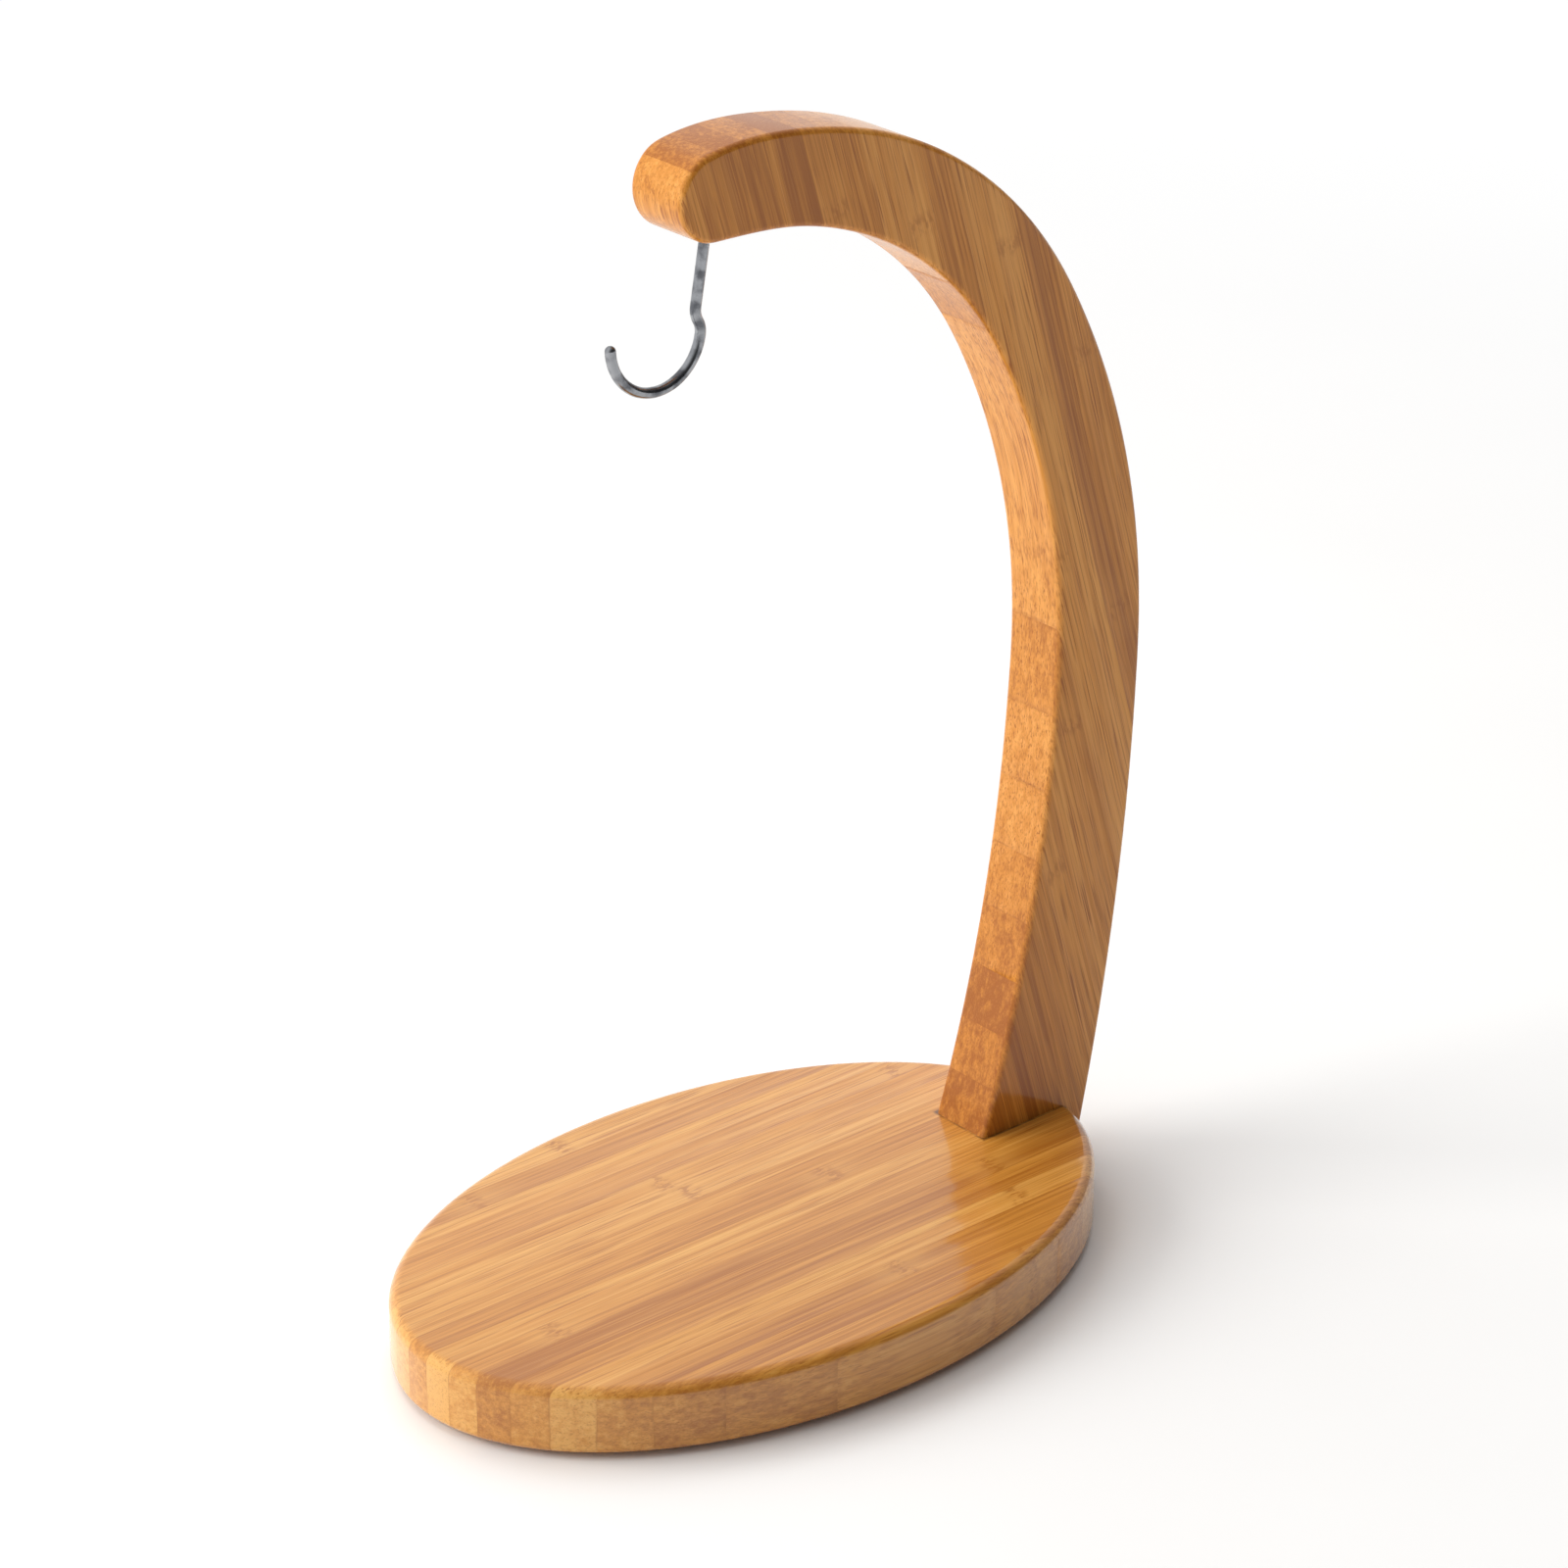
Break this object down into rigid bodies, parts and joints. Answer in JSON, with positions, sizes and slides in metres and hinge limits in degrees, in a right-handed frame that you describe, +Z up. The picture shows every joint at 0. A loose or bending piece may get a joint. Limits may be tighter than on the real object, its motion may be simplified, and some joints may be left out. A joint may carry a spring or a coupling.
{
  "type": "countertop banana hanger stand",
  "caption": "Oval laminated bamboo base with a curved, tapering bamboo arm; a bent-wire hook screws up into the arm's tip and turns on its shank.",
  "frame": {"origin": "middle of the whole object's footprint, on the surface that the foot pads stand on", "axes": "+Z up; +X to the rear, where the arm stands; +Y to the object's left as seen from its front; the hook opens towards -X"},
  "size_m": [0.2192, 0.1288, 0.2985],
  "materials": {
    "base_bamboo": "clear gloss lacquer",
    "arm_bamboo": "clear gloss lacquer on carbonised bamboo",
    "hook_steel": "bright nickel plate",
    "screw_steel": "zinc plate",
    "pad_rubber": "matt"
  },
  "bodies": {
    "stand": {"arm_strip_01": "arm_bamboo", "arm_strip_02": "arm_bamboo", "arm_strip_03_lower": "arm_bamboo", "arm_strip_03_upper": "arm_bamboo", "arm_strip_04_lower": "arm_bamboo", "arm_strip_04_upper": "arm_bamboo", "arm_strip_05_heel": "arm_bamboo", "arm_strip_05_lower": "arm_bamboo", "arm_strip_05_upper": "arm_bamboo", "arm_strip_06_lower": "arm_bamboo", "arm_strip_06_upper": "arm_bamboo", "arm_strip_07_lower": "arm_bamboo", "arm_strip_07_upper": "arm_bamboo", "arm_strip_08_lower": "arm_bamboo", "arm_strip_08_upper": "arm_bamboo", "arm_strip_09_lower": "arm_bamboo", "arm_strip_09_upper": "arm_bamboo", "arm_strip_10_lower": "arm_bamboo", "arm_strip_10_upper": "arm_bamboo", "arm_strip_11": "arm_bamboo", "arm_strip_12": "arm_bamboo", "arm_strip_13": "arm_bamboo", "arm_strip_14": "arm_bamboo", "arm_strip_15": "arm_bamboo", "base_strip_01": "base_bamboo", "base_strip_02": "base_bamboo", "base_strip_03": "base_bamboo", "base_strip_04": "base_bamboo", "base_strip_05": "base_bamboo", "base_strip_06": "base_bamboo", "base_strip_07": "base_bamboo", "base_strip_08": "base_bamboo", "base_strip_09": "base_bamboo", "base_strip_10": "base_bamboo", "base_strip_11": "base_bamboo", "base_strip_12": "base_bamboo", "base_strip_13": "base_bamboo", "base_strip_14": "base_bamboo", "base_strip_15": "base_bamboo", "base_strip_16": "base_bamboo", "base_strip_17": "base_bamboo", "base_strip_18": "base_bamboo", "foot_screws": "screw_steel", "pad_front_left": "pad_rubber", "pad_front_right": "pad_rubber", "pad_rear_left": "pad_rubber", "pad_rear_right": "pad_rubber"},
    "hook": {"hook": "hook_steel"}
  },
  "joints": [
    {"name": "hook_turn", "type": "hinge", "parent": "stand", "child": "hook", "pos_m": [-0.02171, 0, 0.27649], "axis": [0.1736, 0, 0.9848], "continuous": true}
  ]
}
